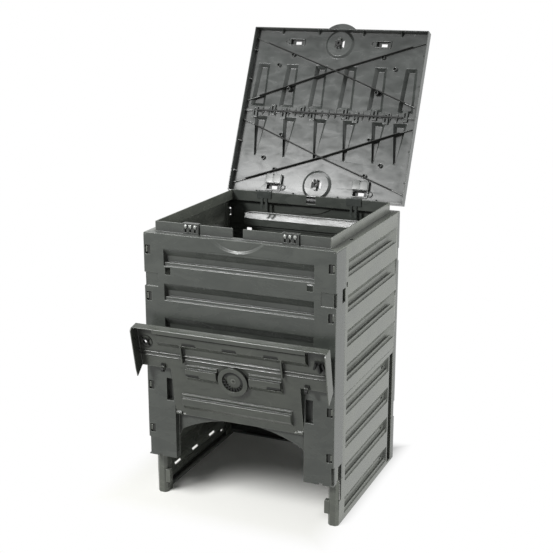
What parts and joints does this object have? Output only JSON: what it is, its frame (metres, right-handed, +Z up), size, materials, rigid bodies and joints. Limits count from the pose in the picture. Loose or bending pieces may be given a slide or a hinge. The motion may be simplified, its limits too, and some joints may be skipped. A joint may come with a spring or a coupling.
{
  "type": "compost bin",
  "caption": "Dark grey moulded plastic compost bin of snap-together grooved panels, hinged lid open at the back and removal door swung up at the front.",
  "frame": {"origin": "Middle of the footprint of the part as it stands in the rest pose (lid open, door up), on the ground.", "axes": "+X to the right as seen from the door side, +Y from the door side to the hinge side, +Z up. The rest pose is the pictured one."},
  "size_m": [0.61, 0.9418, 1.3996],
  "materials": {
    "body_plastic": "satin",
    "side_plastic": "satin",
    "lid_plastic": "satin",
    "door_plastic": "satin",
    "fitting_plastic": "satin",
    "pin_plastic": "satin"
  },
  "bodies": {
    "bin": {"front_wall": "body_plastic", "back_wall": "body_plastic", "side_wall_right_upper": "side_plastic", "side_wall_right_lower": "side_plastic", "side_wall_left_upper": "side_plastic", "side_wall_left_lower": "side_plastic", "rim_clip_left": "fitting_plastic", "rim_clip_right": "fitting_plastic", "hinge_bracket_left": "fitting_plastic", "hinge_bracket_right": "fitting_plastic", "hinge_pin_left": "pin_plastic", "hinge_pin_right": "pin_plastic", "door_pivot_pin_left": "pin_plastic", "door_pivot_pin_right": "pin_plastic"},
    "lid": {"lid_front_half": "lid_plastic", "lid_rear_half": "lid_plastic"},
    "door": {"door_panel": "door_plastic"},
    "knob_lid_front": {"lid_knob_front": "fitting_plastic"},
    "knob_lid_rear": {"lid_knob_rear": "fitting_plastic"},
    "knob_door": {"door_knob": "fitting_plastic"}
  },
  "joints": [
    {"name": "lid_hinge", "type": "hinge", "parent": "bin", "child": "lid", "pos_m": [0, 0.19782, 0.8578], "axis": [1, 0, 0], "range_deg": [0, 114.56]},
    {"name": "door_hinge", "type": "hinge", "parent": "bin", "child": "door", "pos_m": [0, -0.37668, 0.2944], "axis": [1, 0, 0], "range_deg": [0, 168.06]},
    {"name": "lid_front_turn", "type": "hinge", "parent": "lid", "child": "knob_lid_front", "pos_m": [0, 0.43736, 1.33336], "axis": [0, -0.9095, 0.4156], "range_deg": [0, 90]},
    {"name": "lid_rear_turn", "type": "hinge", "parent": "lid", "child": "knob_lid_rear", "pos_m": [0, 0.23594, 0.89261], "axis": [0, -0.9095, 0.4156], "range_deg": [0, 90]},
    {"name": "door_turn", "type": "hinge", "parent": "door", "child": "knob_door", "pos_m": [0, -0.41136, 0.43425], "axis": [0, -0.9784, -0.2069], "range_deg": [0, 90]}
  ]
}
